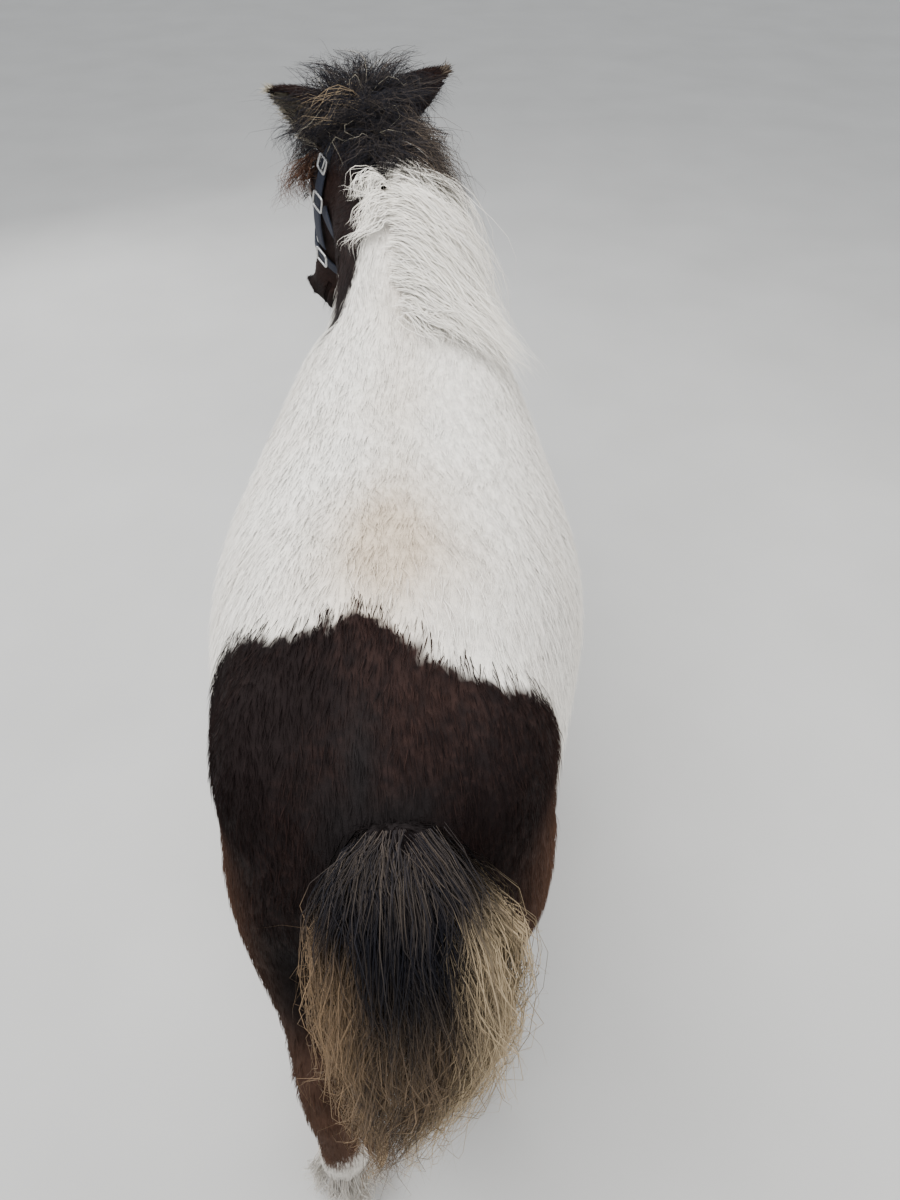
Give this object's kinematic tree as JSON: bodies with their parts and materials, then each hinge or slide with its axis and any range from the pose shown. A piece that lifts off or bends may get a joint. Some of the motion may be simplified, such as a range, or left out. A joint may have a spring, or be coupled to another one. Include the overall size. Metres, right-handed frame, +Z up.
{
  "type": "shetland pony",
  "caption": "Life-size still model of a dark and white Shetland pony in winter coat, standing with its head turned left, in a navy halter without a lead.",
  "frame": {"origin": "centre of the pony's box in plan, on the floor under its hooves", "axes": "+Z up; the pony faces -Y, so its length lies along Y; its left side is +X, the narrowest way"},
  "size_m": [0.4967, 1.4387, 1.1429],
  "materials": {
    "white_hair": "creamy white winter hair with dark brown patches",
    "dark_hair": "dark brown-black hair",
    "tail_hair": "coarse black hair with sun-bleached sides",
    "hoof_horn": "amber horn",
    "eyeball": "wet dark brown eye",
    "navy_webbing": "woven navy webbing",
    "silver_metal": "worn nickel plate"
  },
  "bodies": {
    "root": {"ear_left": "dark_hair", "ear_right": "dark_hair", "eye_left": "eyeball", "eye_right": "eyeball", "halter_buckle": "silver_metal", "halter_cheek_square_left": "silver_metal", "halter_cheek_square_right": "silver_metal", "halter_crown": "navy_webbing", "halter_noseband": "navy_webbing", "halter_square_chin": "silver_metal", "halter_square_left": "silver_metal", "halter_square_right": "silver_metal", "halter_throat": "navy_webbing", "head": "dark_hair", "hoof_front_left": "hoof_horn", "hoof_front_right": "hoof_horn", "hoof_hind_left": "hoof_horn", "hoof_hind_right": "hoof_horn", "leg_front_left": "white_hair", "leg_front_right": "white_hair", "leg_hind_left": "white_hair", "leg_hind_right": "white_hair", "neck": "white_hair", "tail": "tail_hair", "torso": "white_hair"}
  },
  "joints": []
}
